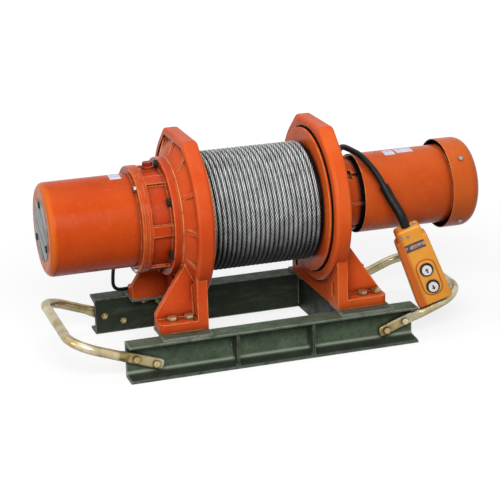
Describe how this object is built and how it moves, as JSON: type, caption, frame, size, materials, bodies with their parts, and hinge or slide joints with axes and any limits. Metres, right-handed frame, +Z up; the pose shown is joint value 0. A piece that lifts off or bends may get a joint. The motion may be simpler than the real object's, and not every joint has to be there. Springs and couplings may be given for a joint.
{
  "type": "electric wire rope winch",
  "caption": "Electric table winch: rope drum between cast brackets on a channel base, planetary gear and brake on one side, motor on the other, tube handles and a hand control.",
  "frame": {"origin": "middle of the object's box, on the floor under the rails", "axes": "+X along the drum from the brake towards the motor, +Z up, the hand control faces -Y"},
  "size_m": [0.96, 0.538, 0.47],
  "materials": {
    "orange_paint": "gloss",
    "dark_green_paint": "satin",
    "yellow_zinc": "gloss",
    "dark_steel": "satin",
    "steel": "satin",
    "rope_steel": "satin",
    "plate_metal": "satin",
    "label_plate": "satin",
    "copper": "satin",
    "black_plastic": "matte",
    "amber_plastic": "satin",
    "white_plastic": "gloss",
    "black_rubber": "matte"
  },
  "bodies": {
    "frame": {"front_rail": "dark_green_paint", "rear_rail": "dark_green_paint", "rail_stiffeners": "dark_green_paint", "left_cross_member": "dark_green_paint", "right_cross_member": "dark_green_paint", "foot_pads": "dark_green_paint", "left_handle": "yellow_zinc", "right_handle": "yellow_zinc", "handle_bolts": "yellow_zinc", "left_bracket": "orange_paint", "right_bracket": "orange_paint", "bracket_bolts": "yellow_zinc", "bearings": "steel", "gear_housing": "orange_paint", "ring_gear": "steel", "gear_housing_bolts": "dark_steel", "gear_cover": "orange_paint", "oil_plug": "dark_steel", "brake_cover": "orange_paint", "cover_screws": "dark_steel", "nameplate": "plate_metal", "brake_magnet": "steel", "brake_springs": "steel", "motor_end_bell": "orange_paint", "motor_bolts": "dark_steel", "motor_body": "orange_paint", "stator_core": "steel", "stator_windings": "copper", "rear_end_shield": "orange_paint", "motor_shroud": "orange_paint", "fan_cover": "orange_paint", "terminal_box": "orange_paint", "cable_glands": "black_plastic", "pendant_front_shell": "amber_plastic", "pendant_rear_shell": "amber_plastic", "button_bezels": "black_plastic", "pendant_label": "label_plate", "contact_block": "black_plastic", "cable_sleeve": "black_rubber", "pendant_cable_upper": "black_rubber", "pendant_cable_coil": "black_rubber", "pendant_cable_lower": "black_rubber", "brake_lead": "black_rubber"},
    "drum": {"drum": "orange_paint", "wire_rope": "rope_steel", "carrier_2": "steel"},
    "carrier_1": {"carrier_1": "steel"},
    "rotor": {"motor_shaft": "steel", "rotor_core": "steel", "cooling_fan": "black_plastic", "brake_disc": "steel"},
    "armature": {"brake_armature": "steel"},
    "button_up": {"button_up": "white_plastic"},
    "button_down": {"button_down": "white_plastic"},
    "planet_1a": {"planet_1a": "steel"},
    "planet_1b": {"planet_1b": "steel"},
    "planet_1c": {"planet_1c": "steel"},
    "planet_2a": {"planet_2a": "steel"},
    "planet_2b": {"planet_2b": "steel"},
    "planet_2c": {"planet_2c": "steel"}
  },
  "joints": [
    {"name": "drum_spin", "type": "hinge", "parent": "frame", "child": "drum", "pos_m": [-0.021, 0, 0.2966], "axis": [1, 0, 0], "continuous": true},
    {"name": "carrier_1_spin", "type": "hinge", "parent": "frame", "child": "carrier_1", "pos_m": [-0.021, 0, 0.2966], "axis": [1, 0, 0], "continuous": true},
    {"name": "rotor_spin", "type": "hinge", "parent": "frame", "child": "rotor", "pos_m": [-0.021, 0, 0.2966], "axis": [1, 0, 0], "continuous": true},
    {"name": "planet_1a_spin", "type": "hinge", "parent": "carrier_1", "child": "planet_1a", "pos_m": [-0.259, 0.054, 0.2966], "axis": [1, 0, 0], "continuous": true},
    {"name": "planet_1b_spin", "type": "hinge", "parent": "carrier_1", "child": "planet_1b", "pos_m": [-0.259, -0.027, 0.34337], "axis": [1, 0, 0], "continuous": true},
    {"name": "planet_1c_spin", "type": "hinge", "parent": "carrier_1", "child": "planet_1c", "pos_m": [-0.259, -0.027, 0.24983], "axis": [1, 0, 0], "continuous": true},
    {"name": "planet_2a_spin", "type": "hinge", "parent": "drum", "child": "planet_2a", "pos_m": [-0.22, 0.054, 0.2966], "axis": [1, 0, 0], "continuous": true},
    {"name": "planet_2b_spin", "type": "hinge", "parent": "drum", "child": "planet_2b", "pos_m": [-0.22, -0.027, 0.34337], "axis": [1, 0, 0], "continuous": true},
    {"name": "planet_2c_spin", "type": "hinge", "parent": "drum", "child": "planet_2c", "pos_m": [-0.22, -0.027, 0.24983], "axis": [1, 0, 0], "continuous": true},
    {"name": "brake_release", "type": "slide", "parent": "frame", "child": "armature", "axis": [-1, 0, 0], "range_m": [0, 0.0006], "stiffness_N_per_m": 50000, "springref_m": -0.01},
    {"name": "button_up_press", "type": "slide", "parent": "frame", "child": "button_up", "axis": [0.2222, 0.9746, 0.0286], "range_m": [0, 0.004], "stiffness_N_per_m": 800, "springref_m": -0.003},
    {"name": "button_down_press", "type": "slide", "parent": "frame", "child": "button_down", "axis": [0.2222, 0.9746, 0.0286], "range_m": [0, 0.004], "stiffness_N_per_m": 800, "springref_m": -0.003}
  ],
  "couplings": [
    {"joint": "carrier_1_spin", "follows": "drum_spin", "ratio": 6},
    {"joint": "rotor_spin", "follows": "drum_spin", "ratio": 36},
    {"joint": "planet_1a_spin", "follows": "drum_spin", "ratio": -15},
    {"joint": "planet_1b_spin", "follows": "drum_spin", "ratio": -15},
    {"joint": "planet_1c_spin", "follows": "drum_spin", "ratio": -15},
    {"joint": "planet_2a_spin", "follows": "drum_spin", "ratio": -2.5},
    {"joint": "planet_2b_spin", "follows": "drum_spin", "ratio": -2.5},
    {"joint": "planet_2c_spin", "follows": "drum_spin", "ratio": -2.5}
  ]
}
